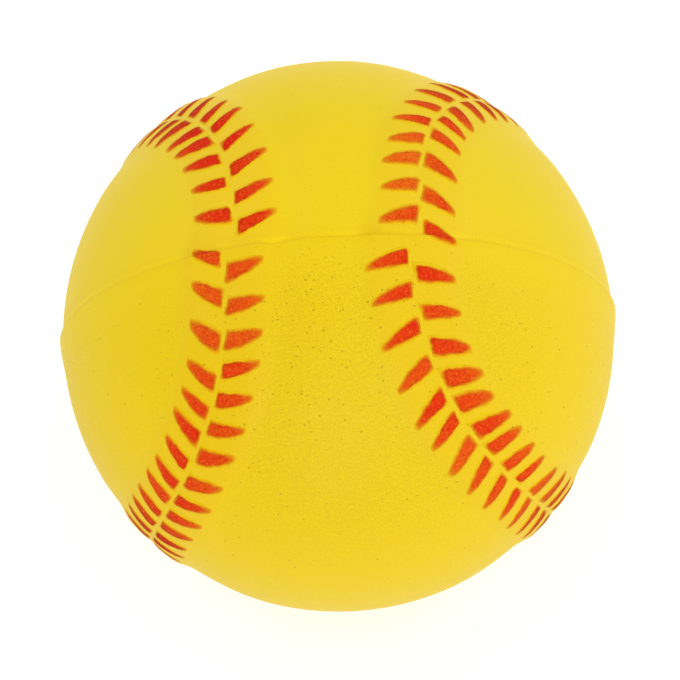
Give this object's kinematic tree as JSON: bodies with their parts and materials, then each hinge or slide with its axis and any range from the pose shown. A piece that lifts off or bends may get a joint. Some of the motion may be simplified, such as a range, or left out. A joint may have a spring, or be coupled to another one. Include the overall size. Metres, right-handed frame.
{
  "type": "practice softball",
  "caption": "Moulded foam practice softball: yellow skin halves around a foam core, with a raised moulded seam and red painted stitch marks.",
  "frame": {"origin": "centre of the ball", "axes": "+Z out through the middle of the front panel's neck, +Y square to the mould's parting plane towards the upper half, +X to the right"},
  "size_m": [0.0982, 0.097, 0.0982],
  "materials": {
    "skin": "satin moulded skin",
    "core_foam": "cut foam",
    "stitch_paint": "matt sprayed paint"
  },
  "bodies": {
    "root": {"foam_core": "core_foam", "upper_skin": "skin", "lower_skin": "skin", "upper_front_stitches": "stitch_paint", "upper_back_stitches": "stitch_paint", "lower_front_stitches": "stitch_paint", "lower_back_stitches": "stitch_paint"}
  },
  "joints": []
}
